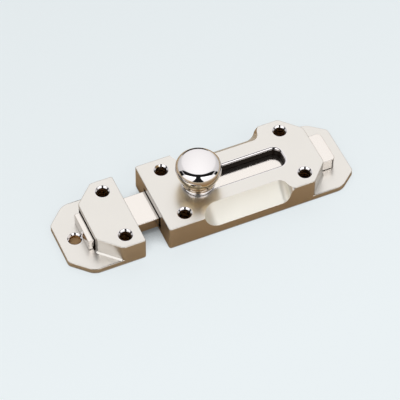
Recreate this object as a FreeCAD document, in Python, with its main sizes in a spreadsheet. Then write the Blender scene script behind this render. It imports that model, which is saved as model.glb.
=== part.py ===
"""Surface-mounted slide bolt, a baby latch, with its keeper: a parametric model in millimetres.

+X runs along the bolt from its tip to its tail, +Z stands off the door.
The origin is the middle of the case's four screws, on the back face.
"""
import FreeCAD, Part

import math
import os
import re

import Sketcher

doc = FreeCAD.newDocument("slide_bolt")
sheet = doc.addObject("Spreadsheet::Sheet", "Sizes")

SIZES = [
    ("case_width", 38.0, "case and keeper across the bolt"),
    ("case_height", 12.2, "back face to the case's top"),
    ("plate_thick", 2.4, "base plate under the case and the keeper"),
    ("screw_span", 56.0, "case screws, along the bolt"),
    ("screw_gauge", 25.6, "screws of the case and the keeper, across the bolt"),
    ("screw_bore", 5.0, "diameter of every screw hole"),
    ("sink_leg", 0.85, "countersink at each hole's mouth"),
    ("head_margin", 9.6, "front screws to the case's front end"),
    ("rear_margin", 10.2, "rear screws to the block's rear end"),
    ("rear_edge", 20.8, "straight edge of the block's rear end"),
    ("rear_cut", 8.3, "length of the block's cut corners"),
    ("plate_reach", 13.4, "base plate behind the block"),
    ("plate_edge", 25.2, "straight edge of the plate's rear end"),
    ("plate_cut", 8.0, "length of the plate's cut corners"),
    ("corner_round", 2.2, "upright corners of the blocks and of the plates' far ends"),
    ("plate_round", 6.0, "where a plate's cut corner leaves its long side"),
    ("block_bevel", 0.4, "softened top edges of the blocks"),
    ("plate_bevel", 0.3, "softened top edges of the plates"),
    ("slot_width", 10.2, "slot that the knob's stem runs in"),
    ("slot_corner", 3.0, "rounded corners of the slot"),
    ("slot_bevel", 0.45, "polished bevel round the slot"),
    ("knob_setback", 11.8, "front screws to the knob's axis, with the bolt locked"),
    ("travel", 34.6, "how far the bolt draws back"),
    ("stop_gap", 0.1, "stem to the slot's end when it stops"),
    ("scoop_start", 15.8, "front end to the finger scoops"),
    ("scoop_end", 59.6, "front end to where a scoop runs out in the flange"),
    ("waist_width", 24.4, "top face between the scoops"),
    ("scoop_lip", 4.4, "height of the side wall left under a scoop"),
    ("cove_radius", 36.0, "hollow of a scoop, across the bolt"),
    ("scoop_nose", 8.0, "rounding of a scoop's front end"),
    ("scoop_heel", 6.0, "rounding of a scoop's rear end"),
    ("flange_round", 3.5, "rounding where a scoop runs out in the flange"),
    ("bolt_width", 16.2, "flat bar"),
    ("bolt_thick", 5.4, "flat bar"),
    ("bolt_length", 115.3, "flat bar"),
    ("bolt_corner", 2.0, "rounded corners of the bolt's tail"),
    ("bolt_bevel", 0.35, "bevel on the bolt's tip and tail"),
    ("bolt_play", 0.2, "gap round the bolt in the case"),
    ("keeper_play", 0.35, "gap round the bolt in the keeper, but not under it"),
    ("door_gap", 10.6, "case to keeper"),
    ("tip_reach", 2.7, "bolt's tip past the keeper's block"),
    ("keeper_height", 10.9, "back face to the keeper's top"),
    ("keeper_block", 19.1, "keeper's block along the bolt"),
    ("keeper_inset", 6.9, "keeper's screws to its near end"),
    ("keeper_edge", 20.6, "straight edge of the block's far end"),
    ("keeper_cut", 8.9, "length of the block's cut corners"),
    ("keeper_reach", 12.9, "keeper's plate past its block"),
    ("keeper_plate_edge", 21.0, "straight edge of the plate's far end"),
    ("keeper_plate_cut", 8.6, "length of the plate's cut corners"),
    ("plate_screw_inset", 7.1, "plate screw to the plate's far end"),
    ("knob_dia", 19.8, "widest ring of the knob"),
    ("knob_rise", 10.1, "case's top to the widest ring"),
    ("face_dia", 13.9, "crease round the knob's face"),
    ("face_rise", 13.8, "case's top to that crease"),
    ("crown", 0.7, "dome of the knob's face"),
    ("under_dia", 17.4, "knob's underside, outer edge"),
    ("under_rise", 5.8, "case's top to that edge"),
    ("neck_dia", 9.4, "narrowest part of the knob"),
    ("neck_length", 2.4, "straight part of the neck, on the foot"),
    ("foot_dia", 14.8, "foot that rides on the case"),
    ("foot_thick", 1.3, "that foot"),
    ("foot_bevel", 0.4, "bevel on the foot's top edge"),
    ("foot_play", 0.2, "foot to the case's top"),
    ("stem_dia", 9.8, "knob's stem in the slot"),
    ("stud_dia", 5.0, "threaded stud in the knob and the bolt"),
    ("thread_play", 0.03, "gap round the stud"),
    ("stud_in_knob", 9.0, "stud's length in the knob"),
    ("stud_in_bolt", 4.8, "stud's length in the bolt"),
    ("drill_spare", 0.3, "how far each stud hole is drilled past the stud"),
    ("spring_setback", 17.2, "knob's axis to the middle of the spring"),
    ("spring_length", 24.0, "friction spring, end to end"),
    ("spring_width", 7.0, "friction spring"),
    ("spring_thick", 0.4, "friction spring"),
    ("spring_play", 0.25, "gap round the spring in its pocket"),
    ("pocket_depth", 1.5, "spring's pocket in the bolt's underside"),
    ("rub_gap", 0.04, "spring's bow to the tunnel floor"),
    ("seat_gap", 0.02, "spring's ends to the top of its pocket"),
]
NAMES = {name for name, _, _ in SIZES}
for row, (name, length, note) in enumerate(SIZES, start=1):
    sheet.set(f"A{row}", name)
    sheet.set(f"B{row}", str(length))
    sheet.set(f"C{row}", note)
    sheet.setAlias(f"B{row}", name)
doc.recompute()

# Places worked out from the sizes, as text for the expressions.
HEAD_X = "(-screw_span / 2 - head_margin)"
REAR_X = "(screw_span / 2 + rear_margin)"
PLATE_X = f"({REAR_X} + plate_reach)"
KEEPER_X = f"({HEAD_X} - door_gap)"
KEEPER_FAR_X = f"({KEEPER_X} - keeper_block)"
KEEPER_PLATE_X = f"({KEEPER_FAR_X} - keeper_reach)"
TIP_X = f"({KEEPER_FAR_X} - tip_reach)"
KNOB_X = "(-screw_span / 2 + knob_setback)"
FLOOR_Z = "plate_thick"
BOLT_Z = "(plate_thick + bolt_play)"
BOLT_TOP = "(plate_thick + bolt_play + bolt_thick)"
HALF = "(case_width / 2)"


def bind(text):
    """Lead each size's name in an expression with the sheet's name."""
    return re.sub(r"[a-z_]+", lambda word: "Sizes." + word[0] if word[0] in NAMES else word[0], text)


def number(text):
    """What an expression comes to."""
    return float(sheet.evalExpression(bind(text)))


def new_body(label):
    body = doc.addObject("PartDesign::Body", label)
    body.Label = label
    return body


def new_sketch(body, name, role, offset="0"):
    """A sketch on one of the body's own origin planes, moved along its normal."""
    plane = next(item for item in body.Origin.OriginFeatures if item.Role == role)
    sketch = body.newObject("Sketcher::SketchObject", name)
    sketch.AttachmentSupport = (plane, [""])
    sketch.MapMode = "FlatFace"
    sketch.setExpression("AttachmentOffset.Base.z", bind(offset))
    return sketch


def hold(sketch, geometry, end, x, y):
    """Fix a point of the sketch at the place that two expressions give."""
    for kind, text in (("DistanceX", x), ("DistanceY", y)):
        index = sketch.addConstraint(
            Sketcher.Constraint(kind, -1, 1, geometry, end, number(text)))
        sketch.setExpression(f"Constraints[{index}]", bind(text))


def size_of(sketch, kind, geometry, text):
    index = sketch.addConstraint(Sketcher.Constraint(kind, geometry, number(text)))
    sketch.setExpression(f"Constraints[{index}]", bind(text))


def draw(sketch, steps):
    """Draw a closed outline. A step is (x, y), reached by a line, or (x, y, radius, turn),
    reached by an arc that turns left (turn 1) or right (turn -1)."""
    points = [FreeCAD.Vector(number(step[0]), number(step[1]), 0) for step in steps]
    ends = []
    for index, step in enumerate(steps):
        start, stop = points[index - 1], points[index]
        if len(step) == 2:
            geometry = sketch.addGeometry(Part.LineSegment(start, stop), False)
            ends.append((geometry, 1, 2))
            continue
        radius, turn = number(step[2]), step[3]
        chord = stop - start
        side = FreeCAD.Vector(-chord.y, chord.x, 0).normalize() * turn
        centre = (start + stop) / 2 + side * math.sqrt(radius ** 2 - chord.Length ** 2 / 4)
        first, last = (start, stop) if turn > 0 else (stop, start)
        angles = [math.atan2(point.y - centre.y, point.x - centre.x) for point in (first, last)]
        circle = Part.Circle(centre, FreeCAD.Vector(0, 0, 1), radius)
        geometry = sketch.addGeometry(Part.ArcOfCircle(circle, angles[0], angles[1]), False)
        ends.append((geometry, 1, 2) if turn > 0 else (geometry, 2, 1))
    for index, (geometry, first, last) in enumerate(ends):
        before, _, joint = ends[index - 1]
        sketch.addConstraint(Sketcher.Constraint("Coincident", before, joint, geometry, first))
        hold(sketch, geometry, last, steps[index][0], steps[index][1])
        if len(steps[index]) == 4:
            size_of(sketch, "Radius", geometry, steps[index][2])


def circle(sketch, x, y, diameter):
    centre = FreeCAD.Vector(number(x), number(y), 0)
    shape = Part.Circle(centre, FreeCAD.Vector(0, 0, 1), number(diameter) / 2)
    geometry = sketch.addGeometry(shape, False)
    hold(sketch, geometry, 3, x, y)
    size_of(sketch, "Diameter", geometry, diameter)


def pad(body, sketch, name, length):
    feature = body.newObject("PartDesign::Pad", name)
    feature.Profile = sketch
    feature.setExpression("Length", bind(length))
    doc.recompute()
    return feature


def pocket(body, sketch, name, length=None, reverse=False):
    """Cut the sketch's outline to a depth, or through all, and see that it cut something."""
    before = body.Shape.Volume
    feature = body.newObject("PartDesign::Pocket", name)
    feature.Profile = sketch
    feature.Reversed = reverse
    if length is None:
        feature.Type = "ThroughAll"
    else:
        feature.setExpression("Length", bind(length))
    doc.recompute()
    if body.Shape.Volume > before - 0.01:
        raise RuntimeError(f"{name} cuts nothing")
    return feature


def edges_of(body, wanted):
    """Names of the edges that a test on an edge's box and middle picks."""
    return [f"Edge{index}" for index, edge in enumerate(body.Shape.Edges, start=1)
            if wanted(edge, edge.BoundBox)]


def dress(body, kind, name, edges, leg):
    """Round or bevel the named edges."""
    if not edges:
        raise RuntimeError(f"{name} finds no edges")
    feature = body.newObject(f"PartDesign::{kind}", name)
    feature.Base = (feature.BaseFeature, edges)
    feature.setExpression("Radius" if kind == "Fillet" else "Size", bind(leg))
    doc.recompute()
    return feature


def near(one, other, slack=0.02):
    return abs(one - other) < slack


def upright(box, low, high):
    """True for the box of an upright edge between two heights."""
    return box.XLength < 0.02 and box.YLength < 0.02 and near(box.ZMin, low) and near(box.ZMax, high)


def rim_at(box, height):
    """True for the box of an edge that lies flat at a height."""
    return box.ZLength < 0.02 and near(box.ZMin, height)


def screw_holes(body, name, places, height):
    """Clearance holes with a countersunk mouth."""
    sketch = new_sketch(body, f"{name}_sketch", "XY_Plane", height)
    for x, y in places:
        circle(sketch, x, y, "screw_bore")
    pocket(body, sketch, name)
    bore = number("screw_bore")
    mouths = edges_of(body, lambda edge, box: rim_at(box, number(height))
                      and near(box.XLength, bore) and near(box.YLength, bore))
    dress(body, "Chamfer", f"{name}_sinks", mouths, "sink_leg")


def outline(near_x, far_x, cut, edge, way, side_round):
    """A block's plan: square at its near end, with cut corners at its far end, rounded where
    they leave its long sides."""
    back = f"({far_x} - {way} * {cut})"
    drop = f"({HALF} - {edge} / 2)"
    slant = f"sqrt({cut} ^ 2 + {drop} ^ 2)"
    bend = f"({side_round} * ({slant} - {cut}) / {drop})"
    side_x = f"({back} - {way} * {bend})"
    cut_x = f"({back} + {way} * {bend} * {cut} / {slant})"
    cut_y = f"({HALF} - {bend} * {drop} / {slant})"
    return [(near_x, f"-{HALF}"), (side_x, f"-{HALF}"), (cut_x, f"-{cut_y}", side_round, way),
            (far_x, f"-{edge} / 2"), (far_x, f"{edge} / 2"), (cut_x, cut_y),
            (side_x, HALF, side_round, way), (near_x, HALF)]


def slab(body, name, plan, low, high, soft):
    """A plate or block from its plan: padded from the back face, with the corners of its far
    end rounded upright between two heights and its top edges softened."""
    sketch = new_sketch(body, f"{name}_plan", "XY_Plane")
    draw(sketch, plan)
    pad(body, sketch, name, high)
    foot, top, far_end = number(low), number(high), number(plan[3][0])
    corners = edges_of(body, lambda edge, box: upright(box, foot, top)
                       and near(box.XMin, far_end))
    dress(body, "Fillet", f"{name}_corners", corners, "corner_round")
    rim = edges_of(body, lambda edge, box: rim_at(box, top))
    dress(body, "Chamfer", f"{name}_rim", rim, soft)


def build_case():
    """The case, one forging with its base plate: block, tunnel, slot, screw holes and scoops."""
    body = new_body("case")
    slab(body, "case_plate",
         outline(HEAD_X, PLATE_X, "plate_cut", "plate_edge", 1, "plate_round"),
         "0", "plate_thick", "plate_bevel")
    slab(body, "case_block",
         outline(HEAD_X, REAR_X, "rear_cut", "rear_edge", 1, "corner_round"),
         "plate_thick", "case_height", "block_bevel")
    tunnel = new_sketch(body, "tunnel_section", "YZ_Plane", HEAD_X)
    side = "(bolt_width / 2 + bolt_play)"
    ceiling = f"({BOLT_TOP} + bolt_play)"
    draw(tunnel, [(f"-{side}", FLOOR_Z), (side, FLOOR_Z), (side, ceiling), (f"-{side}", ceiling)])
    pocket(body, tunnel, "tunnel", reverse=True)
    slot = new_sketch(body, "slot_plan", "XY_Plane", "case_height")
    stem_end = "(stem_dia / 2 + stop_gap)"
    front, rear = f"({KNOB_X} - {stem_end})", f"({KNOB_X} + travel + {stem_end})"
    draw(slot, [(front, "-slot_width / 2"), (rear, "-slot_width / 2"),
                (rear, "slot_width / 2"), (front, "slot_width / 2")])
    pocket(body, slot, "slot", f"case_height - {BOLT_TOP} - bolt_play / 2")
    slot_low, top = number(ceiling), number("case_height")
    corners = edges_of(body, lambda edge, box: upright(box, slot_low, top)
                       and number(front) - 0.1 < box.XMin < number(rear) + 0.1
                       and near(abs(box.YMin), number("slot_width") / 2))
    dress(body, "Fillet", "slot_corners", corners, "slot_corner")
    cut_scoops(body)
    inner = edges_of(body, lambda edge, box: rim_at(box, top)
                     and number(front) - 0.1 < box.XMin
                     and box.XMax < number(rear) + 0.1
                     and max(abs(box.YMin), abs(box.YMax)) < number("slot_width") / 2 + 0.1)
    dress(body, "Chamfer", "slot_edge", inner, "slot_bevel")
    half_x, half_y = "screw_span / 2", "screw_gauge / 2"
    places = [(f"{i}{half_x}", f"{j}{half_y}") for i in ("-", "") for j in ("-", "")]
    screw_holes(body, "case_screws", places, "case_height")
    return body


def cut_scoops(body):
    """Hollow both sides for the fingers, as a round-nosed cutter that runs along the bolt does.

    The cutter turns about an axis that stands off the case. Its heel flares out, so that the
    hollow ends in an S that runs into the side of the rear flange.
    """
    rise, run = "(case_height - scoop_lip)", "(case_width / 2 - waist_width / 2)"
    chord = f"sqrt({rise} ^ 2 + {run} ^ 2)"
    reach = f"sqrt(cove_radius ^ 2 - ({rise} ^ 2 + {run} ^ 2) / 4)"
    axis_y = f"((case_width + waist_width) / 4 + {rise} / {chord} * {reach})"
    axis_z = f"((case_height + scoop_lip) / 2 + {run} / {chord} * {reach})"
    edge = f"sqrt(({axis_y} - {HALF}) ^ 2 + ({axis_z} - case_height) ^ 2)"
    turn_cos = f"(1 - (cove_radius - {edge}) / (scoop_heel + flange_round))"
    turn_sin = f"sqrt(1 - {turn_cos} ^ 2)"
    front, rear = f"({HEAD_X} + scoop_start)", f"({HEAD_X} + scoop_end)"
    low = f"({axis_z} - cove_radius)"
    cutter = new_sketch(body, "scoop_cutter", "XZ_Plane", f"-{axis_y}")
    draw(cutter, [(front, axis_z), (front, f"{low} + scoop_nose"),
                  (f"{front} + scoop_nose", low, "scoop_nose", 1),
                  (f"{rear} - (scoop_heel + flange_round) * {turn_sin}", low),
                  (f"{rear} - flange_round * {turn_sin}",
                   f"{low} + scoop_heel * (1 - {turn_cos})", "scoop_heel", 1),
                  (rear, f"{axis_z} - {edge}", "flange_round", -1), (rear, axis_z)])
    axis = cutter.addGeometry(Part.LineSegment(
        FreeCAD.Vector(number(front), number(axis_z), 0),
        FreeCAD.Vector(number(rear), number(axis_z), 0)), True)
    hold(cutter, axis, 1, front, axis_z)
    hold(cutter, axis, 2, rear, axis_z)
    before = body.Shape.Volume
    groove = body.newObject("PartDesign::Groove", "scoop")
    groove.Profile = cutter
    groove.ReferenceAxis = (cutter, ["Axis0"])
    groove.Angle = 360
    doc.recompute()
    if body.Shape.Volume > before - 100:
        raise RuntimeError("the scoop cuts nothing")
    other = body.newObject("PartDesign::Mirrored", "scoop_other_side")
    other.Originals = [groove]
    plane = next(item for item in body.Origin.OriginFeatures if item.Role == "XZ_Plane")
    other.MirrorPlane = (plane, [""])
    body.Tip = other
    doc.recompute()


def build_keeper():
    """The keeper, one forging: block, tunnel and plate, with three screw holes."""
    body = new_body("keeper")
    slab(body, "keeper_plate",
         outline(KEEPER_X, KEEPER_PLATE_X, "keeper_plate_cut", "keeper_plate_edge", -1,
                 "plate_round"),
         "0", "plate_thick", "plate_bevel")
    slab(body, "keeper_block",
         outline(KEEPER_X, KEEPER_FAR_X, "keeper_cut", "keeper_edge", -1, "corner_round"),
         "plate_thick", "keeper_height", "block_bevel")
    tunnel = new_sketch(body, "keeper_section", "YZ_Plane", KEEPER_PLATE_X)
    side = "(bolt_width / 2 + keeper_play)"
    ceiling = f"({BOLT_TOP} + keeper_play)"
    draw(tunnel, [(f"-{side}", FLOOR_Z), (side, FLOOR_Z), (side, ceiling), (f"-{side}", ceiling)])
    pocket(body, tunnel, "keeper_tunnel", reverse=True)
    across = f"({KEEPER_X} - keeper_inset)"
    screw_holes(body, "keeper_screws", [(across, "-screw_gauge / 2"), (across, "screw_gauge / 2")],
                "keeper_height")
    screw_holes(body, "keeper_plate_screw", [(f"({KEEPER_PLATE_X} + plate_screw_inset)", "0")],
                "plate_thick")
    return body


def build_bolt():
    """The bolt: a flat bar with a tapped hole for the stud and a pocket for the spring."""
    body = new_body("bolt")
    plan = new_sketch(body, "bolt_plan", "XY_Plane", BOLT_Z)
    tail = f"({TIP_X} + bolt_length)"
    draw(plan, [(TIP_X, "-bolt_width / 2"), (tail, "-bolt_width / 2"),
                (tail, "bolt_width / 2"), (TIP_X, "bolt_width / 2")])
    pad(body, plan, "bolt_bar", "bolt_thick")
    low, high = number(BOLT_Z), number(BOLT_TOP)
    corners = edges_of(body, lambda edge, box: upright(box, low, high)
                       and near(box.XMin, number(tail)))
    dress(body, "Fillet", "bolt_tail", corners, "bolt_corner")
    ends = edges_of(body, lambda edge, box: (rim_at(box, low) or rim_at(box, high))
                    and near(box.XMin, number(TIP_X)) and box.XLength < 0.02)
    dress(body, "Chamfer", "bolt_tip", ends, "bolt_bevel")
    hole = new_sketch(body, "stud_hole_plan", "XY_Plane", BOLT_TOP)
    circle(hole, KNOB_X, "0", "stud_dia + 2 * thread_play")
    pocket(body, hole, "stud_hole", "stud_in_bolt + drill_spare")
    seat = new_sketch(body, "spring_pocket_plan", "XY_Plane", BOLT_Z)
    middle = f"({KNOB_X} + spring_setback)"
    half_x = "(spring_length / 2 + spring_play)"
    half_y = "(spring_width / 2 + spring_play)"
    draw(seat, [(f"{middle} - {half_x}", f"-{half_y}"), (f"{middle} + {half_x}", f"-{half_y}"),
                (f"{middle} + {half_x}", half_y), (f"{middle} - {half_x}", half_y)])
    pocket(body, seat, "spring_pocket", "pocket_depth", reverse=True)
    return body


def build_spring():
    """The friction spring: a bowed strip whose ends press up in the bolt and whose middle rubs."""
    body = new_body("friction_spring")
    side = new_sketch(body, "spring_side", "XZ_Plane", "-spring_width / 2")
    middle = f"({KNOB_X} + spring_setback)"
    left, right = f"({middle} - spring_length / 2)", f"({middle} + spring_length / 2)"
    high = f"({BOLT_Z} + pocket_depth - seat_gap)"
    bow = f"({high} - spring_thick - {FLOOR_Z} - rub_gap)"
    outer = f"((spring_length ^ 2 / 4 + {bow} ^ 2) / (2 * {bow}))"
    draw(side, [(left, high), (left, f"{high} - spring_thick"),
                (right, f"{high} - spring_thick", outer, 1),
                (right, high), (left, high, outer, -1)][1:])
    pad(body, side, "spring_strip", "spring_width")
    return body


def build_knob():
    """The knob, turned: stem, foot, neck and mushroom head with a flat-domed face."""
    body = new_body("knob")
    half = new_sketch(body, "knob_section", "XZ_Plane")
    base, bore = BOLT_TOP, "(stud_dia / 2 + thread_play)"
    bore_end = f"({base} + stud_in_knob + drill_spare)"
    stem, foot = "(stem_dia / 2)", "(foot_dia / 2)"
    foot_low = "(case_height + foot_play)"
    foot_high = f"({foot_low} + foot_thick)"
    neck, neck_top = "(neck_dia / 2)", f"({foot_high} + neck_length)"
    under, under_z = "(under_dia / 2)", "(case_height + under_rise)"
    ring, ring_z = "(knob_dia / 2)", "(case_height + knob_rise)"
    face, face_z = "(face_dia / 2)", "(case_height + face_rise)"
    # The shoulder leaves the widest ring upright and ends at the face.
    shoulder = f"(({ring} - {face}) ^ 2 + ({face_z} - {ring_z}) ^ 2) / (2 * ({ring} - {face}))"
    dome = f"({face} ^ 2 + crown ^ 2) / (2 * crown)"
    draw(half, [
        (bore, base), (stem, base), (stem, foot_low), (foot, foot_low),
        (foot, f"{foot_high} - foot_bevel"), (f"{foot} - foot_bevel", foot_high),
        (neck, foot_high), (neck, neck_top),
        (under, under_z), (ring, ring_z),
        (face, face_z, shoulder, 1), ("0", f"{face_z} + crown", dome, 1),
        ("0", bore_end), (bore, bore_end),
    ])
    turned = body.newObject("PartDesign::Revolution", "knob_turned")
    turned.Profile = half
    turned.ReferenceAxis = (half, ["V_Axis"])
    turned.Angle = 360
    doc.recompute()
    body.setExpression("Placement.Base.x", bind(KNOB_X))
    doc.recompute()
    return body


def build_stud():
    """The stud that ties the knob to the bolt through the slot."""
    stud = doc.addObject("Part::Cylinder", "knob_stud")
    stud.Label = "knob_stud"
    stud.setExpression("Radius", bind("stud_dia / 2"))
    stud.setExpression("Height", bind("stud_in_bolt + stud_in_knob"))
    stud.setExpression("Placement.Base.x", bind(KNOB_X))
    stud.setExpression("Placement.Base.z", bind(f"{BOLT_TOP} - stud_in_bolt"))
    return stud


pieces = [build_case(), build_keeper(), build_bolt(), build_spring(), build_knob(), build_stud()]
doc.recompute()

for item in doc.Objects:
    if "Invalid" in item.State or "Error" in item.State:
        raise RuntimeError(f"{item.Label} failed to build: {item.State}")
for piece in pieces:
    if piece.Shape.isNull() or not piece.Shape.isValid():
        raise RuntimeError(f"{piece.Label} has no valid shape")

os.makedirs("parts", exist_ok=True)
for piece in pieces:
    piece.Shape.exportStep(f"parts/{piece.Label}.step")
    box = piece.Shape.BoundBox
    print(f"{piece.Label}: {len(piece.Shape.Solids)} solid, {piece.Shape.Volume / 1000:.2f} cm3, "
          f"x {box.XMin:.2f} to {box.XMax:.2f}, y {box.YMin:.2f} to {box.YMax:.2f}, "
          f"z {box.ZMin:.2f} to {box.ZMax:.2f}")
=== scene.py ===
# %% [markdown]
# This lesson dresses a surface slide bolt for a door: a solid case, a flat bolt that a turned
# knob draws back, and a keeper on the door's frame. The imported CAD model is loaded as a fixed
# frame. It gives every place and size, so what is modelled here only has to be finer.

# %% Load the frame
from math import acos, atan2, cos, degrees, hypot, pi, radians, sin, sqrt, tan

import bpy
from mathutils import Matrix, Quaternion, Vector


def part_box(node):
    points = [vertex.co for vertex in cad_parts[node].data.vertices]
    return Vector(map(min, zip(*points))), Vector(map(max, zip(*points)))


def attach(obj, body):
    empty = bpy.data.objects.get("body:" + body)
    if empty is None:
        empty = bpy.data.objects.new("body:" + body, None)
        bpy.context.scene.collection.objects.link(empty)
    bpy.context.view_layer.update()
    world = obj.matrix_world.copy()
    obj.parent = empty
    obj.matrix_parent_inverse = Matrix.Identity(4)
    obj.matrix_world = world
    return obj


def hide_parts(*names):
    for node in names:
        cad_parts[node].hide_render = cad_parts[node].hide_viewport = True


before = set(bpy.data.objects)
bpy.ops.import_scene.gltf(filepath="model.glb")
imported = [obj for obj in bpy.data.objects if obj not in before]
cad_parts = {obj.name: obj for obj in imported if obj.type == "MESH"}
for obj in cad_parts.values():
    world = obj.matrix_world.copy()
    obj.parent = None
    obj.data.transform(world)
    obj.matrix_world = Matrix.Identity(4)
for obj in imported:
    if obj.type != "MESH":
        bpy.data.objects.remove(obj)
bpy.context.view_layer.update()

MM = 0.001

# %% [markdown]
# ## Sizes
# The boxes of the CAD nodes give the outer sizes. The rest are the real product's sizes in
# millimetres, as the CAD model has them: x runs along the bolt and z stands off the door.

# %% Sizes of the set
case_low, case_high = (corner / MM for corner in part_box("case"))
keeper_low, keeper_high = (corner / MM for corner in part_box("keeper"))
bolt_low, bolt_high = (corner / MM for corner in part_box("bolt"))
knob_low, knob_high = (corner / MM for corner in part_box("knob"))

half_width = case_high.y
plate_top = 2.4
case_block_end, keeper_block_end = 38.2, -67.3
knob_x = (knob_low.x + knob_high.x) / 2
print(f"case {case_high.x - case_low.x:.1f} x {2 * half_width:.1f} x {case_high.z:.1f} mm, "
      f"knob {knob_high.x - knob_low.x:.1f} mm across")

# %% [markdown]
# ## Working by operator
# An operator acts on everything that is selected, so each step first clears the selection and
# then picks its edges by where they lie. These helpers do only that.


# %% Helpers that pick and finish
def alone(piece):
    """Make a piece the only one selected, and the active one."""
    if bpy.context.object and bpy.context.object.mode != "OBJECT":
        bpy.ops.object.mode_set(mode="OBJECT")
    bpy.ops.object.select_all(action="DESELECT")
    piece.select_set(True)
    bpy.context.view_layer.objects.active = piece


def pick_edges(piece, wanted):
    """Enter edit mode with the edges selected whose two ends, in millimetres, pass a test."""
    alone(piece)
    bpy.ops.object.mode_set(mode="EDIT")
    bpy.ops.mesh.select_mode(type="EDGE")
    bpy.ops.mesh.select_all(action="DESELECT")
    bpy.ops.object.mode_set(mode="OBJECT")
    points = [vertex.co / MM for vertex in piece.data.vertices]
    for edge in piece.data.edges:
        edge.select = wanted(points[edge.vertices[0]], points[edge.vertices[1]])
    bpy.ops.object.mode_set(mode="EDIT")
    return sum(edge.select for edge in piece.data.edges)


def round_edges(piece, wanted, width, segments):
    """Round the picked edges. The width is how far the round reaches from the edge."""
    count = pick_edges(piece, wanted)
    bpy.ops.mesh.bevel(offset=width * MM, segments=segments, profile=0.5, affect="EDGES")
    bpy.ops.object.mode_set(mode="OBJECT")
    return count


def near(one, other):
    """Whether two measures are the same to 0.02 mm."""
    return abs(one - other) < 0.02


def upright(one, other):
    """Whether the edge between two points stands upright."""
    return near(one.x, other.x) and near(one.y, other.y)


def add_box(name, low, high):
    """A cube primitive, stretched to lie between two corners in millimetres."""
    centre = [(a + b) / 2 * MM for a, b in zip(low, high)]
    size = [(b - a) * MM for a, b in zip(low, high)]
    bpy.ops.object.select_all(action="DESELECT")
    bpy.ops.mesh.primitive_cube_add(size=1, location=centre, scale=size)
    box = bpy.context.object
    box.name = box.data.name = name
    bpy.ops.object.transform_apply(location=True, rotation=True, scale=True)
    return box


def combine(piece, other, operation):
    """Join another solid to a piece or cut it out of it, and remove that solid."""
    alone(piece)
    modifier = piece.modifiers.new(operation.lower(), "BOOLEAN")
    modifier.operation = operation
    modifier.object = other
    modifier.solver = "EXACT"
    modifier.material_mode = "TRANSFER"
    bpy.ops.object.modifier_apply(modifier=modifier.name)
    bpy.data.objects.remove(other)


# %% [markdown]
# ## Materials
# The case and the keeper are forged brass with nickel plating. Their flats are brushed over to
# a fine satin, and the hollows keep the coarser bead blast. The bolt, the knob and the mouths
# of the holes are polished under the same plating. The slot and the tunnel are coloured near
# black as painted shade, and the screw bores carry painted shade and painted glints.
#
# Every pattern is laid by the place on the piece, so it moves with the piece, and its scale is
# one over a size in metres.


# %% Helpers for materials
def linear(colour):
    """A hex colour as linear red, green and blue with full alpha."""
    parts = [int(colour[i:i + 2], 16) / 255 for i in (1, 3, 5)]
    return [c / 12.92 if c <= 0.04045 else ((c + 0.055) / 1.055) ** 2.4 for c in parts] + [1]


def add_node(tree, kind, settings=None, links=None):
    """Add a node, set its properties or sockets, and link sockets to outputs of other nodes."""
    node = tree.nodes.new(kind)
    for key, value in (settings or {}).items():
        if isinstance(key, str) and hasattr(node, key):
            setattr(node, key, value)
        else:
            node.inputs[key].default_value = value
    for key, output in (links or {}).items():
        tree.links.new(output, node.inputs[key])
    return node


def new_finish(name, colour, roughness, metallic=1, specular=0.5):
    """A material on the principled shader: itself, its node tree, its shader and the place."""
    material = bpy.data.materials.new(name)
    material.use_nodes = True
    tree = material.node_tree
    shader = tree.nodes["Principled BSDF"]
    shader.inputs["Base Color"].default_value = linear(colour)
    shader.inputs["Metallic"].default_value = metallic
    shader.inputs["Roughness"].default_value = roughness
    shader.inputs["Specular IOR Level"].default_value = specular
    place = add_node(tree, "ShaderNodeTexCoord").outputs["Object"]
    return material, tree, shader, place


def vary_gloss(tree, shader, place, patch, detail, low, high):
    """Let the roughness drift between two values, over patches of a size in millimetres."""
    patches = add_node(tree, "ShaderNodeTexNoise", {"Scale": 1 / (patch * MM), "Detail": detail},
                       {"Vector": place}).outputs["Fac"]
    drift = add_node(tree, "ShaderNodeMapRange", {"To Min": low, "To Max": high},
                     {"Value": patches}).outputs["Result"]
    tree.links.new(drift, shader.inputs["Roughness"])


def mix_colours(tree, shader, factor, low, high):
    """Blend the base colour from one hex colour to another by a factor from 0 to 1."""
    tone = add_node(tree, "ShaderNodeMix", {"data_type": "RGBA", 6: linear(low), 7: linear(high)},
                    {0: factor}).outputs[2]
    tree.links.new(tone, shader.inputs["Base Color"])


# %% [markdown]
# Satin nickel scatters light softly, because fine beads have pitted it. The pits are about
# 0.15 mm across. A second, slower noise stands for the plating's uneven depth, which shows as
# faint clouds in the gloss. In the hollows the blast is coarser: it spreads the light further,
# so they look paler and mirror nothing clearly.

# %% Satin nickel
satin, tree, shader, place = new_finish("satin_nickel_plate", "#D4D1CD", 0.3)
vary_gloss(tree, shader, place, patch=14, detail=3.0, low=0.27, high=0.32)
# A pit and the rim beside it take 0.3 mm.
pit_pair, pit_depth = 0.3 * MM, 0.02 * MM
pits = add_node(tree, "ShaderNodeTexNoise", {"Scale": 1 / pit_pair, "Detail": 2.0},
                {"Vector": place}).outputs["Fac"]
dents = add_node(tree, "ShaderNodeBump", {"Strength": 0.05, "Distance": pit_depth},
                 {"Height": pits}).outputs["Normal"]
tree.links.new(dents, shader.inputs["Normal"])

blasted, tree, shader, place = new_finish("blasted_nickel_plate", "#EDECE6", 0.5)
vary_gloss(tree, shader, place, patch=9, detail=3.0, low=0.48, high=0.56)
print("satin: pits 0.15 mm, roughness 0.27 to 0.32, in the hollows 0.48 to 0.56")
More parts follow.
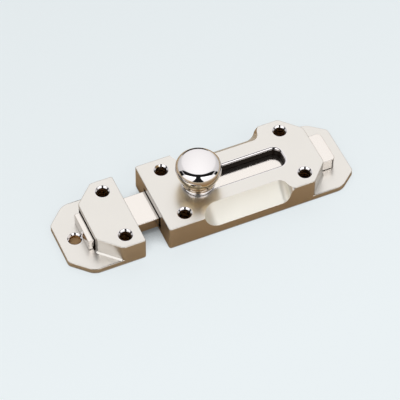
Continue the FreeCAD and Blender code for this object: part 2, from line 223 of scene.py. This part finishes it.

# %% [markdown]
# Polished nickel is a mirror whose gloss varies a little in slow smears. Under the knob's head
# its colour turns warm tan, a painted reflection of the shade beneath the head. The flat bar
# has hairlines from the buffing wheel along its length, which stretch what it mirrors. They
# are drawn a quarter of a millimetre wide, coarser than real ones, so that they show.

# %% Polished nickel
polished, tree, shader, place = new_finish("polished_nickel_plate", "#DBD8DA", 0.13)
vary_gloss(tree, shader, place, patch=6, detail=4.0, low=0.1, high=0.16)

knob_plate_painted_tan, tree, shader, place = new_finish("polished_nickel_knob", "#DBD8DA", 0.05)
# The warm tan band under the head is a painted reflection of shade, not the metal's colour.
painted_tan_height, painted_tan_within, painted_tan_beyond = case_high.z + 7.2, 2.0, 3.4
up = add_node(tree, "ShaderNodeSeparateXYZ", {}, {"Vector": place}).outputs["Z"]
off_painted_tan = add_node(tree, "ShaderNodeMath", {"operation": "SUBTRACT", 1: painted_tan_height * MM},
                     {0: up}).outputs[0]
off_painted_tan = add_node(tree, "ShaderNodeMath", {"operation": "ABSOLUTE"}, {0: off_painted_tan}).outputs[0]
painted_tan_mask = add_node(tree, "ShaderNodeMapRange",
                 {"From Min": painted_tan_within * MM, "From Max": painted_tan_beyond * MM},
                 {"Value": off_painted_tan}).outputs["Result"]
mix_colours(tree, shader, painted_tan_mask, "#F1DEBA", "#DBD8DA")

bar_plate, tree, shader, place = new_finish("polished_nickel_bar", "#D9D4D0", 0.13)
along = add_node(tree, "ShaderNodeMapping", {"Scale": (0.02, 1, 1)}, {"Vector": place})
vary_gloss(tree, shader, along.outputs["Vector"], patch=0.25, detail=2.0, low=0.09, high=0.17)
print("polished nickel: roughness 0.05 on the knob, on the bar 0.09 to 0.17")

# %% [markdown]
# The walls of the slot and the tunnel are coloured nearly black, in blotches of 0.8 mm: painted
# shade in these recesses. The screw bores are coloured dark brown with pale tan streaks, drawn
# coarse: painted shade inside the holes, with painted glints. The stud is plain zinc plated
# steel and the spring rolled bronze, both with a dim gloss.

# %% Dark inner walls and drilled bores
# Painted shade: the near-black colour stands in for the shade in the slot and the tunnel.
inner_wall_shade, tree, shader, place = new_finish("inner_wall_painted_shade", "#2A211A", 0.5, metallic=0, specular=0.1)
wall_shade_blotches = add_node(tree, "ShaderNodeTexNoise", {"Scale": 1 / (0.8 * MM), "Detail": 5.0},
                       {"Vector": place}).outputs["Fac"]
mix_colours(tree, shader, wall_shade_blotches, "#0A0603", "#22150A")

# Painted shade and glints: dark brown for the shade inside the bores, pale streaks for glints.
bore_shade_and_glints, tree, shader, place = new_finish("bore_painted_shade_and_glints", "#5A4632", 0.35)
turned = add_node(tree, "ShaderNodeMapping", {"Scale": (0.35, 0.35, 1.4)}, {"Vector": place})
painted_glint_streaks = add_node(tree, "ShaderNodeTexNoise", {"Scale": 1 / (0.9 * MM), "Detail": 3.0},
                       {"Vector": turned.outputs["Vector"]}).outputs["Fac"]
marks = add_node(tree, "ShaderNodeMapRange", {"From Min": 0.42, "From Max": 0.56},
                 {"Value": painted_glint_streaks}).outputs["Result"]
mix_colours(tree, shader, marks, "#7E5E3C", "#F2DCB8")
print("inner walls: forging scale of 0.8 mm, bores with drill marks")

# %% The stud and the spring
zinc, tree, shader, place = new_finish("zinc_plated_steel", "#C2C2C4", 0.32)
vary_gloss(tree, shader, place, patch=1.2, detail=2.0, low=0.26, high=0.4)

bronze, tree, shader, place = new_finish("phosphor_bronze_strip", "#D2A77E", 0.28)
vary_gloss(tree, shader, place, patch=0.9, detail=3.0, low=0.22, high=0.36)
print("materials:", [m.name for m in bpy.data.materials])

# %% [markdown]
# ## Plates and blocks
# The case and the keeper have the same build: a block on a longer plate, both square at one
# end and cut at the corners of the other. Each starts as a cube. Two bisects take the corners
# off, and bevels round the upright corners and then the rim, before anything is cut into it.
# A cut end is given by the length of its cuts and the straight edge left between them.

# %% A plate or block
corner_round, plate_round, square_round = 2.2, 6.0, 0.9


def slab(name, square_x, cut_x, cut, height, side_round, rim):
    """A cube cut at the corners of one end, with its corners and top rim rounded."""
    cut_length, straight_edge = cut
    way = 1 if cut_x > square_x else -1
    body = add_box(name, (min(square_x, cut_x), -half_width, 0),
                   (max(square_x, cut_x), half_width, height))
    body.data.materials.append(satin)
    alone(body)
    bpy.ops.object.mode_set(mode="EDIT")
    turn = atan2(half_width - straight_edge / 2, cut_length)
    for side in (-1, 1):
        bpy.ops.mesh.select_all(action="SELECT")
        bpy.ops.mesh.bisect(plane_co=(cut_x * MM, side * straight_edge / 2 * MM, 0),
                            plane_no=(way * sin(turn), side * cos(turn), 0),
                            use_fill=True, clear_outer=True)
    bpy.ops.object.mode_set(mode="OBJECT")
    for x, bend, radius in ((cut_x, pi / 2 - turn, corner_round),
                            (cut_x - way * cut_length, turn, side_round)):
        round_edges(body, lambda a, b: upright(a, b) and near(a.x, x),
                    radius * tan(bend / 2), segments=12)
    round_edges(body, lambda a, b: upright(a, b) and near(a.x, square_x),
                square_round, segments=4)
    round_edges(body, lambda a, b: near(a.z, height) and near(b.z, height), rim, segments=3)
    return body


def foot_cove(piece, block_end, way, cut, width):
    """Fill the inner corner where the walls of a block's cut end stand on the plate."""
    cut_length, straight_edge = cut
    drop = half_width - straight_edge / 2
    slant = hypot(cut_length, drop)
    # Limits in millimetres: off the cut's wall, off the end wall, past the cut, in from the side.
    off_wall, off_end, past_cut, side_gap = 0.6, 0.1, 1.2, 0.4

    def at_the_foot(point):
        back = way * (block_end - point.x)
        off_cut = abs(back * drop - (abs(point.y) - straight_edge / 2) * cut_length) / slant
        on_cut = off_cut < off_wall and -off_end < back < cut_length + past_cut
        on_end = abs(back) < off_end and abs(point.y) < straight_edge / 2 + off_end
        inside = near(point.z, plate_top) and abs(point.y) < half_width - side_gap
        return inside and (on_cut or on_end)

    count = round_edges(piece, lambda a, b: at_the_foot(a) and at_the_foot(b), width, segments=1)
    for vertex in piece.data.vertices:
        vertex.co.y = max(-half_width * MM, min(half_width * MM, vertex.co.y))
    print(piece.name, "foot cove on", count, "edges")


# %% The case's block on its plate
plate_rim, block_rim = 0.3, 0.4
case_plate_cut, case_block_cut = (8.0, 25.2), (8.3, 20.8)
plate = slab("case_plate", case_low.x, case_high.x, case_plate_cut, plate_top,
             plate_round, plate_rim)
case = slab("case_body", case_low.x, case_block_end, case_block_cut, case_high.z,
            corner_round, block_rim)
combine(case, plate, "UNION")
foot_cove(case, case_block_end, 1, case_block_cut, width=0.6)
print("case:", len(case.data.polygons), "faces after the plate is joined on")

# %% The keeper's block on its plate
keeper_plate_cut, keeper_block_cut = (8.6, 21.0), (8.9, 20.6)
plate = slab("keeper_plate", keeper_high.x, keeper_low.x, keeper_plate_cut, plate_top,
             plate_round, plate_rim)
keeper = slab("keeper_body", keeper_high.x, keeper_block_end, keeper_block_cut, keeper_high.z,
              corner_round, block_rim)
combine(keeper, plate, "UNION")
foot_cove(keeper, keeper_block_end, -1, keeper_block_cut, width=0.65)
print("keeper:", len(keeper.data.polygons), "faces")

# %% [markdown]
# ## Finger scoops
# A round-nosed cutter hollows both sides of the case for the fingers. It is a solid of
# revolution about a line beside the case, so its outline is drawn once and spun. At the rear
# it flares in an S, which lets the hollow run out into the flange.


# %% Outlines with arcs
def arc(centre, radius, start, stop, steps):
    """Points on an arc between two angles in degrees, both ends included."""
    angles = [radians(start + (stop - start) * i / steps) for i in range(steps + 1)]
    return [(centre[0] + radius * cos(a), centre[1] + radius * sin(a)) for a in angles]


def spin_outline(name, outline, centre, axis, steps):
    """Draw an outline of points as edges and spin it into a closed solid."""
    mesh = bpy.data.meshes.new(name)
    mesh.from_pydata([Vector(point) * MM for point in outline],
                     [(i, i + 1) for i in range(len(outline) - 1)], [])
    solid = bpy.data.objects.new(name, mesh)
    bpy.context.scene.collection.objects.link(solid)
    alone(solid)
    bpy.ops.object.mode_set(mode="EDIT")
    bpy.ops.mesh.select_all(action="SELECT")
    bpy.ops.mesh.spin(steps=steps, angle=2 * pi, center=Vector(centre) * MM, axis=axis)
    bpy.ops.mesh.select_all(action="SELECT")
    bpy.ops.mesh.remove_doubles(threshold=0.001 * MM)
    bpy.ops.mesh.normals_make_consistent(inside=False)
    bpy.ops.object.mode_set(mode="OBJECT")
    return solid


# %% [markdown]
# The hollow is a round of one radius, the cove. It passes through the waist, which is half the
# width left on top, and through the lip, which is the height left of the side wall. These
# three fix the line that the cutter is spun about. The nose rounds its front end, and the heel
# and the flare make the S.

# %% The scoop cutter
waist, lip, cove = 12.2, 4.4, 36.0
nose, heel, flare = 8.0, 3.6, 3.6
scoop_front, scoop_rear = case_low.x + 15.8, case_low.x + 59.6
rise, run = case_high.z - lip, half_width - waist
chord = hypot(rise, run)
lever = sqrt(cove ** 2 - chord ** 2 / 4)
axis_y = (half_width + waist) / 2 + rise / chord * lever
axis_z = (case_high.z + lip) / 2 + run / chord * lever
edge_reach = hypot(axis_y - half_width, axis_z - case_high.z)
turn = acos(1 - (cove - edge_reach) / (heel + flare))
low = axis_z - cove
heel_x = scoop_rear - (heel + flare) * sin(turn)
flare_start = scoop_rear - flare * sin(turn)
swing = degrees(turn)
outline = ([(scoop_front, axis_z)]
           + arc((scoop_front + nose, low + nose), nose, 180, 270, steps=20)
           + arc((heel_x, low + heel), heel, 270, 270 + swing, steps=14)
           + arc((scoop_rear, axis_z - edge_reach - flare), flare, 90 + swing, 90, steps=12)[1:]
           + [(scoop_rear, axis_z)])
for side in (-1, 1):
    cutter = spin_outline("scoop_cutter", [(x, side * axis_y, z) for x, z in outline],
                          (0, side * axis_y, axis_z), (1, 0, 0), steps=160)
    cutter.data.materials.append(blasted)
    cutter.data.materials.append(satin)
    for face in cutter.data.polygons:
        face.material_index = 1 if face.center.x > flare_start * MM else 0
    combine(case, cutter, "DIFFERENCE")
print(f"scoops from x {scoop_front:.1f} to {scoop_rear:.1f} mm, {cove:.0f} mm hollow")

# %% [markdown]
# ## Tunnel, slot and screw holes
# Each opening is cut by a solid of its own shape. The cutter brings its material with it, so
# the walls that it leaves take its colour. The tunnel's mouths are broken by hand and coloured
# near black, as painted shade in the gap around the bolt, while the slot's rim and the mouths
# of the holes are polished.

# %% The tunnels that the bolt runs in
case_tunnel, keeper_tunnel = (8.3, 8.2), (8.45, 8.35)
overshoot, mouth_break, hair = 2, 0.85, 0.01


def break_mouth_and_paint_shade(piece, mouth_x, side, ceiling):
    """Break the edges of a tunnel's mouth, and colour what is broken near black as painted shade."""
    def on_mouth(point):
        beside = near(abs(point.y), side) and point.z < ceiling + hair
        overhead = near(point.z, ceiling) and abs(point.y) < side + hair
        return near(point.x, mouth_x) and (beside or overhead)

    count = round_edges(piece, lambda a, b: on_mouth(a) and on_mouth(b), mouth_break, segments=2)
    # Painted shade: the broken faces take the near-black colour of the gap around the bolt.
    painted_shade_index = piece.data.materials.find("inner_wall_painted_shade")
    reach = mouth_break - hair
    for face in piece.data.polygons:
        spot = face.center / MM
        if (0.001 < abs(spot.x - mouth_x) < reach and abs(spot.y) < side + reach
                and spot.z < ceiling + reach):
            face.material_index = painted_shade_index
    print(f"{piece.name}: mouth at x {mouth_x:.1f}, {count} edges broken")


for piece, front, rear, (side, ceiling) in ((case, case_low.x, case_block_end, case_tunnel),
                                            (keeper, keeper_block_end, keeper_high.x, keeper_tunnel)):
    tunnel = add_box("tunnel", (front - overshoot, -side, plate_top),
                     (rear + overshoot, side, ceiling))
    tunnel.data.materials.append(inner_wall_shade)
    combine(piece, tunnel, "DIFFERENCE")
    break_mouth_and_paint_shade(piece, front, side, ceiling)
    break_mouth_and_paint_shade(piece, rear, side, ceiling)
    print(f"{piece.name}: tunnel {2 * side:.1f} mm wide")

# %% The slot that the knob's stem runs in
slot_half, slot_corner, slot_bevel = 5.1, 3.6, 0.95
slot_floor, slot_end, travel = 7.0, 5.0, 34.6
slot_front, slot_rear = knob_x - slot_end, knob_x + travel + slot_end
slot = add_box("slot", (slot_front, -slot_half, slot_floor),
               (slot_rear, slot_half, case_high.z + 1))
round_edges(slot, upright, slot_corner, segments=10)
slot.data.materials.append(inner_wall_shade)
combine(case, slot, "DIFFERENCE")


def on_slot_rim(point):
    return (near(point.z, case_high.z) and slot_front - hair < point.x < slot_rear + hair
            and abs(point.y) < slot_half + hair)


round_edges(case, lambda a, b: on_slot_rim(a) and on_slot_rim(b), slot_bevel, segments=6)
case.data.materials.append(polished)
polished_index = case.data.materials.find("polished_nickel_plate")
for face in case.data.polygons:
    spot = face.center / MM
    if (slot_front - slot_bevel < spot.x < slot_rear + slot_bevel
            and abs(spot.y) < slot_half + slot_bevel and 0.005 < case_high.z - spot.z < slot_bevel):
        face.material_index = polished_index
print(f"slot {slot_rear - slot_front:.1f} x {2 * slot_half:.1f} mm")

# %% A drill for countersunk holes
bore, sink, lip_round, stub = 2.5, 0.72, 0.41, 1.0
lip_drop = lip_round * (1 - cos(pi / 4))
lip_out = bore + sink - lip_drop + lip_round * sin(pi / 4)
drill_outline = ([(0, 0, -stub), (bore, 0, -stub), (bore, 0, -sink)]
                 + [(r, 0, z) for r, z in arc((lip_out, -lip_round), lip_round, 135, 90, steps=5)]
                 + [(lip_out, 0, stub), (0, 0, stub)])
drill = spin_outline("drill", drill_outline, (0, 0, 0), (0, 0, 1), steps=64)


def drill_hole(piece, x, y, top):
    """Cut one hole with a copy of the drill, lengthened to reach through the piece."""
    cutter = drill.copy()
    cutter.data = drill.data.copy()
    bpy.context.scene.collection.objects.link(cutter)
    for vertex in cutter.data.vertices:
        at_the_tip = vertex.co.z < -(sink + stub) / 2 * MM
        depth = -(top + stub) if at_the_tip else vertex.co.z / MM
        vertex.co = Vector((vertex.co.x + x * MM, vertex.co.y + y * MM, (top + depth) * MM))
    cutter.data.materials.append(bore_shade_and_glints)
    cutter.data.materials.append(polished)
    for face in cutter.data.polygons:
        face.material_index = 1 if face.center.z > (top - sink) * MM else 0
    combine(piece, cutter, "DIFFERENCE")


# %% The seven screw holes
screw_reach, screw_aside = 28, 12.8
keeper_inset, plate_inset = 6.9, 7.1
case_screws = [(x, y) for x in (-screw_reach, screw_reach) for y in (-screw_aside, screw_aside)]
keeper_screws = [(keeper_high.x - keeper_inset, y) for y in (-screw_aside, screw_aside)]
plate_screws = [(keeper_low.x + plate_inset, 0)]
for piece, places, top in ((case, case_screws, case_high.z),
                           (keeper, keeper_screws, keeper_high.z),
                           (keeper, plate_screws, plate_top)):
    for x, y in places:
        drill_hole(piece, x, y, top)
bpy.data.objects.remove(drill)
screw_places = case_screws + keeper_screws + plate_screws
print(f"{len(screw_places)} holes of {2 * bore} mm with mouths of {2 * lip_out:.1f} mm")

# %% [markdown]
# ## Shading the forgings
# The cuts leave slivers in the flats, which would catch the light as streaks. Faces in one
# plane are merged, and the normals are weighted by area, so the large flats stay flat and only
# the rounds between them shade smoothly.


# %% Clean up and shade the two forgings
def smooth_forging(piece, angle):
    """Merge what the cuts left in one plane, and shade curves smooth but flats flat."""
    alone(piece)
    bpy.ops.object.mode_set(mode="EDIT")
    bpy.ops.mesh.select_all(action="SELECT")
    bpy.ops.mesh.remove_doubles(threshold=0.002 * MM)
    bpy.ops.mesh.dissolve_limited(angle_limit=radians(0.2), delimit={"MATERIAL"})
    bpy.ops.object.mode_set(mode="OBJECT")
    bpy.ops.object.shade_smooth_by_angle(angle=angle)
    weighted = piece.modifiers.new("weighted", "WEIGHTED_NORMAL")
    weighted.keep_sharp = True
    bpy.ops.object.modifier_apply(modifier=weighted.name)


sharp_from = radians(35)
for piece, node in ((case, "case"), (keeper, "keeper")):
    smooth_forging(piece, sharp_from)
    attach(piece, "case_and_keeper")
    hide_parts(node)
    print(piece.name, len(piece.data.polygons), "faces")

# %% [markdown]
# ## The bolt
# A bar of flat stock, cut to length. Its tail corners are rounded, and every edge is broken
# by the polishing wheel.

# %% The bolt
tail_round, bar_rim = 2.0, 0.3
bolt = add_box("bolt_bar", bolt_low, bolt_high)
round_edges(bolt, lambda a, b: upright(a, b) and near(a.x, bolt_high.x), tail_round, segments=8)


def on_bar_rim(one, other):
    level = near(one.z, other.z) and (near(one.z, bolt_low.z) or near(one.z, bolt_high.z))
    return level or near(one.x, bolt_low.x) and near(other.x, bolt_low.x)


round_edges(bolt, on_bar_rim, bar_rim, segments=3)
bolt.data.materials.append(bar_plate)
alone(bolt)
bpy.ops.object.shade_smooth_by_angle(angle=sharp_from)
weighted = bolt.modifiers.new("weighted", "WEIGHTED_NORMAL")
bpy.ops.object.modifier_apply(modifier=weighted.name)
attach(bolt, "sliding_bolt")
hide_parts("bolt")
print("bolt:", len(bolt.data.polygons), "faces")

# %% [markdown]
# ## The knob
# Turned from bar on a lathe, so its outline is spun. From below: the stem, the foot that
# slides on the case, a waisted neck, and a head with a rounded shoulder and a domed face.


# %% Arcs through given points
def through(start, stop, centre, steps):
    """Points on an arc about a centre between two points on it, both ends included."""
    radius = hypot(start[0] - centre[0], start[1] - centre[1])
    first = atan2(start[1] - centre[1], start[0] - centre[0])
    last = atan2(stop[1] - centre[1], stop[0] - centre[0])
    if last - first > pi:
        last -= 2 * pi
    if first - last > pi:
        last += 2 * pi
    return arc(centre, radius, degrees(first), degrees(last), steps)


def level_centre(point, other):
    """Centre of the arc that is upright at one point and passes through another."""
    reach = ((point[0] - other[0]) ** 2 + (point[1] - other[1]) ** 2) / (2 * (other[0] - point[0]))
    return (point[0] + reach, point[1])


# %% The knob
stem, foot, neck = 4.9, 7.4, 4.7
foot_low, foot_high = case_high.z + 0.2, case_high.z + 1.5
sole_round, foot_round, neck_cove, head_cove, face_rise = 0.3, 0.4, 0.8, 1.2, 0.7
under_point = (8.7, case_high.z + 5.8)
ring_point = (9.9, case_high.z + 10.1)
face_point = (6.95, case_high.z + 13.8)
top_point = (0, face_point[1] + face_rise)
neck_top = under_point[1] - 2.0
crown = top_point[1] - face_point[1]
dome = (face_point[0] ** 2 + crown ** 2) / (2 * crown)
profile = ([(0, knob_low.z), (stem, knob_low.z), (stem, foot_low)]
           + arc((foot - sole_round, foot_low + sole_round), sole_round, -90, 0, steps=6)
           + arc((foot - foot_round, foot_high - foot_round), foot_round, 0, 90, steps=8)
           + arc((neck + neck_cove, foot_high + neck_cove), neck_cove, -90, -180, steps=8)
           + arc((neck + head_cove, neck_top), head_cove, 180, 125, steps=8)
           + through(under_point, ring_point, level_centre(ring_point, under_point), steps=14)
           + through(ring_point, face_point, level_centre(ring_point, face_point), steps=24)[1:]
           + through(face_point, top_point, (0, top_point[1] - dome), steps=8)[1:])
knob = spin_outline("knob_turned", [(knob_x + r, 0, z) for r, z in profile],
                    (knob_x, 0, 0), (0, 0, 1), steps=128)
knob.data.materials.append(knob_plate_painted_tan)
alone(knob)
bpy.ops.object.shade_smooth_by_angle(angle=sharp_from)
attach(knob, "sliding_bolt")
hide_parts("knob")
print(f"knob: {len(profile)} outline points, {len(knob.data.polygons)} faces")

# %% [markdown]
# ## The pieces inside
# The stud ties the knob to the bolt, and the bowed spring under the bolt keeps it where it is
# left. Nobody sees them, and their CAD shapes are right, so they only get their metals.

# %% The pieces inside keep their CAD shape
for node, metal in (("knob_stud", zinc), ("friction_spring", bronze)):
    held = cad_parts[node]
    held.data.materials.clear()
    held.data.materials.append(metal)
    print(node, "in", metal.name)

# %% [markdown]
# ## Studio
# The set lies on a pale floor in a white tent. The camera looks in through a gap in front,
# and a dark gap runs overhead: the knob mirrors both. The metal's upright sides mirror a
# brown table, although the backdrop is pale, so a card that only reflections see lies there.
# A dark cloth behind the knob, seen by reflections alone, darkens the far edge of its head.

# %% Camera
view_azimuth, view_elevation, view_roll = -24.422, 51.050, 0.840
view_distance, focal_length = 0.9278, 194.0
aim = Vector((-15.254, 0.050, 0)) * MM
back = Vector((sin(radians(view_azimuth)) * cos(radians(view_elevation)),
               -cos(radians(view_azimuth)) * cos(radians(view_elevation)),
               sin(radians(view_elevation))))
bpy.ops.object.camera_add(location=aim + back * view_distance)
camera = bpy.context.object
camera.rotation_mode = "QUATERNION"
camera.rotation_quaternion = ((-back).to_track_quat("-Z", "Y")
                              @ Quaternion((0, 0, 1), radians(view_roll)))
camera.data.sensor_width = 36
camera.data.lens = focal_length
bpy.context.scene.camera = camera
print(f"camera {view_distance / MM:.0f} mm off, {view_elevation:.1f} degrees up")

# %% [markdown]
# To the camera the paper is darker but glows, so it comes out pale without any more light on
# the metal, and still takes the object's shadow. The glow dims a little towards the back, and
# it fades in nooks as painted shade, under the bolt and between the case and the keeper.

# %% Paper floor
floor_level, card_level, spot_level, cloth_level = -0.4 * MM, -0.2 * MM, -0.1 * MM, -0.05 * MM
studio_size = 12
bpy.ops.mesh.primitive_plane_add(size=studio_size, location=(0, 0, floor_level))
floor = bpy.context.object
floor.name = "floor"
paper, tree, shader, place = new_finish("pale_paper", "#EDF4F6", 0.9, metallic=0, specular=0)
seen_by_camera = add_node(tree, "ShaderNodeLightPath").outputs["Is Camera Ray"]
mix_colours(tree, shader, seen_by_camera, "#EDF4F6", "#7C8081")

near_y, far_y, near_glow, far_glow = -80 * MM, 160 * MM, 0.79, 0.72
nook_reach, nook_glow = 12 * MM, 0.15
way_back = add_node(tree, "ShaderNodeSeparateXYZ", {}, {"Vector": place}).outputs["Y"]
glow = add_node(tree, "ShaderNodeMapRange",
                {"From Min": near_y, "From Max": far_y, "To Min": near_glow, "To Max": far_glow},
                {"Value": way_back}).outputs["Result"]
# Painted shade: the glow is cut where ambient occlusion finds the floor hemmed in.
openness = add_node(tree, "ShaderNodeAmbientOcclusion",
                    {"samples": 16, "Distance": nook_reach}).outputs["AO"]
painted_nook_shade = add_node(tree, "ShaderNodeMapRange",
                  {"From Min": 0.2, "From Max": 0.52, "To Min": nook_glow, "To Max": 1.0},
                  {"Value": openness}).outputs["Result"]
for share in (painted_nook_shade, seen_by_camera):
    glow = add_node(tree, "ShaderNodeMath", {"operation": "MULTIPLY"}, {0: glow, 1: share}).outputs[0]
shader.inputs["Emission Color"].default_value = linear("#ECF3F6")
tree.links.new(glow, shader.inputs["Emission Strength"])
floor.data.materials.append(paper)
floor.visible_glossy = False
print(f"floor {-floor_level / MM:.1f} mm under the set, glow {far_glow} to {near_glow}")


# %% Card and dark cloth for reflections
def mirrored_only(sheet):
    """Hide a sheet from the camera and from the light, but not from reflections."""
    sheet.visible_camera = sheet.visible_diffuse = sheet.visible_shadow = False
    sheet.visible_transmission = False


board, tree, shader, place = new_finish("brown_board", "#B79873", 0.9, metallic=0, specular=0)
distance = add_node(tree, "ShaderNodeVectorMath", {"operation": "LENGTH"}, {"Vector": place})
brown_within, pale_beyond = 30 * MM, 250 * MM
fade = add_node(tree, "ShaderNodeMapRange", {"From Min": brown_within, "From Max": pale_beyond},
                {"Value": distance.outputs["Value"]}).outputs["Result"]
mix_colours(tree, shader, fade, "#B79873", "#EEE0C4")
bpy.ops.mesh.primitive_plane_add(size=studio_size, location=(0, 0, card_level))
card = bpy.context.object
card.name = "brown_card"
card.data.materials.append(board)
mirrored_only(card)

ahead = Vector((-sin(radians(view_azimuth)), cos(radians(view_azimuth)), 0))
aside = Vector((ahead.y, -ahead.x, 0))
knob_foot = Vector((knob_x * MM, 0, cloth_level))
cloth_start, cloth_end, cloth_right, cloth_left = 0.04, 4, 0.7, 1.8
mesh = bpy.data.meshes.new("dark_cloth")
mesh.from_pydata([knob_foot + ahead * cloth_start,
                  knob_foot + ahead * cloth_end + aside * cloth_right,
                  knob_foot + ahead * cloth_end - aside * cloth_left], [], [(0, 1, 2)])
dark_cloth = bpy.data.objects.new("dark_cloth", mesh)
bpy.context.scene.collection.objects.link(dark_cloth)
dark_cloth.data.materials.append(inner_wall_shade)
mirrored_only(dark_cloth)
print("seen by reflections only:", card.name, dark_cloth.name)

# %% [markdown]
# The card can't be seen through a screw hole, because the camera doesn't see it at all. A spot
# of the same board lies under each hole, so the brown of the table shows at its bottom.

# %% Spots of board under the holes
spot_radius = 4.2 * MM
for x, y in screw_places:
    bpy.ops.mesh.primitive_circle_add(vertices=48, radius=spot_radius, fill_type="NGON",
                                      location=(x * MM, y * MM, spot_level))
    spot = bpy.context.object
    spot.name = "board_under_hole"
    spot.data.materials.append(board)

# %% [markdown]
# ## The tent
# The world is painted by where a ray points as the camera's side sees it: across to the
# right, behind the set, and up. The lean is how far a ray tips back for each step up, and the
# taper narrows the gap in front towards its top.

# %% Where a ray points
world = bpy.data.worlds.new("white_tent")
bpy.context.scene.world = world
world.use_nodes = True
tree = world.node_tree
sky = tree.nodes["Background"]
way_out = add_node(tree, "ShaderNodeTexCoord").outputs["Generated"]
seen = add_node(tree, "ShaderNodeVectorRotate",
                {"rotation_type": "Z_AXIS", "Angle": radians(-view_azimuth)}, {"Vector": way_out})
axes = add_node(tree, "ShaderNodeSeparateXYZ", {}, {"Vector": seen.outputs["Vector"]})
across, behind, height = axes.outputs["X"], axes.outputs["Y"], axes.outputs["Z"]

off_level = add_node(tree, "ShaderNodeMath", {"operation": "MAXIMUM", 1: 0.001},
                     {0: height}).outputs[0]
lean = add_node(tree, "ShaderNodeMath", {"operation": "DIVIDE"},
                {0: behind, 1: off_level}).outputs[0]
sideways = add_node(tree, "ShaderNodeMath", {"operation": "ABSOLUTE"}, {0: across}).outputs[0]
taper = add_node(tree, "ShaderNodeMath", {"operation": "MULTIPLY_ADD", 1: 0.33},
                 {0: height, 2: sideways}).outputs[0]

# %% [markdown]
# Each dark shape is where every value in its rows lies between a low and a high limit, with
# edges blurred a little as a cloth's are. None means that there is no limit on that side.


# %% The dark shapes
def cloth_edge(value, edge, blur, rising):
    """1 past a blurred edge and 0 before it when rising is 1, and the other way when it is 0."""
    return add_node(tree, "ShaderNodeMapRange",
                    {"From Min": edge - blur, "From Max": edge + blur,
                     "To Min": 1 - rising, "To Max": rising}, {"Value": value}).outputs["Result"]


def merged(operation, parts):
    """One value out of several, taken two at a time by a math operation."""
    whole = parts[0]
    for part in parts[1:]:
        whole = add_node(tree, "ShaderNodeMath", {"operation": operation},
                         {0: whole, 1: part}).outputs[0]
    return whole


crisp, soft, softer = 0.02, 0.04, 0.05
dark_shapes = {
    "gap in front": ((taper, None, 0.43, crisp), (behind, None, 0.0, softer)),
    "gap overhead": ((lean, -0.38, 0.26, crisp), (across, -0.8, 0.8, softer)),
    "left pole": ((across, None, -0.82, soft), (behind, -0.28, 0.12, crisp)),
    "right pole": ((across, 0.86, None, soft), (behind, -0.14, 0.14, crisp)),
    "low gap behind": ((behind, 0.4, None, crisp), (across, -0.44, 0.2, crisp),
                       (height, None, 0.25, crisp)),
}
shapes = []
for rows in dark_shapes.values():
    edges = [cloth_edge(value, low, blur, 1) for value, low, high, blur in rows if low is not None]
    edges += [cloth_edge(value, high, blur, 0) for value, low, high, blur in rows if high is not None]
    shapes.append(merged("MULTIPLY", edges))
dark = merged("MAXIMUM", shapes)
print("dark in the tent:", ", ".join(dark_shapes))

# %% [markdown]
# The cloth behind is brightest in its middle and towards its top. The cloth in front is
# dimmer low down than high up, which keeps the tops from burning out when they are seen from
# behind. Near the floor both take up its brown.

# %% The lit cloth
middle_glow, side_fall, side_glow = 1.04, -1.1, 0.75
low_glow, glow_rise = 0.98, 0.38
front_low_glow, front_high_glow = 1.35, 2.4
dark_glow = 0.015
squared = add_node(tree, "ShaderNodeMath", {"operation": "MULTIPLY"},
                   {0: across, 1: across}).outputs[0]
middle = add_node(tree, "ShaderNodeMath",
                  {"operation": "MULTIPLY_ADD", 1: side_fall, 2: middle_glow},
                  {0: squared}).outputs[0]
middle = add_node(tree, "ShaderNodeMath", {"operation": "MAXIMUM", 1: side_glow},
                  {0: middle}).outputs[0]
climb = add_node(tree, "ShaderNodeMath", {"operation": "MULTIPLY_ADD", 1: glow_rise, 2: low_glow},
                 {0: height}).outputs[0]
cloth_behind = merged("MULTIPLY", (middle, climb))
cloth_in_front = add_node(tree, "ShaderNodeMapRange",
                          {"From Min": 0.58, "From Max": 0.7, "To Min": front_low_glow,
                           "To Max": front_high_glow}, {"Value": height}).outputs["Result"]
is_behind = cloth_edge(behind, 0.0, 0.2, 1)
cloth = add_node(tree, "ShaderNodeMix", {"data_type": "FLOAT"},
                 {0: is_behind, 2: cloth_in_front, 3: cloth_behind}).outputs[0]
lit = add_node(tree, "ShaderNodeMath", {"operation": "SUBTRACT", 0: 1.0}, {1: dark}).outputs[0]
strength = add_node(tree, "ShaderNodeMath", {"operation": "MULTIPLY_ADD", 2: dark_glow},
                    {0: lit, 1: cloth}).outputs[0]
tree.links.new(strength, sky.inputs["Strength"])

hue = add_node(tree, "ShaderNodeMix", {"data_type": "RGBA", 6: linear("#C6B292"),
                                       7: linear("#FFFEFC")},
               {0: cloth_edge(height, 0.05, crisp, 1)}).outputs[2]
tree.links.new(hue, sky.inputs["Color"])
print(f"cloth {side_glow} to {middle_glow} behind, {front_low_glow} to {front_high_glow} in front")

# %% Finish
bpy.context.scene.view_settings.view_transform = "Standard"
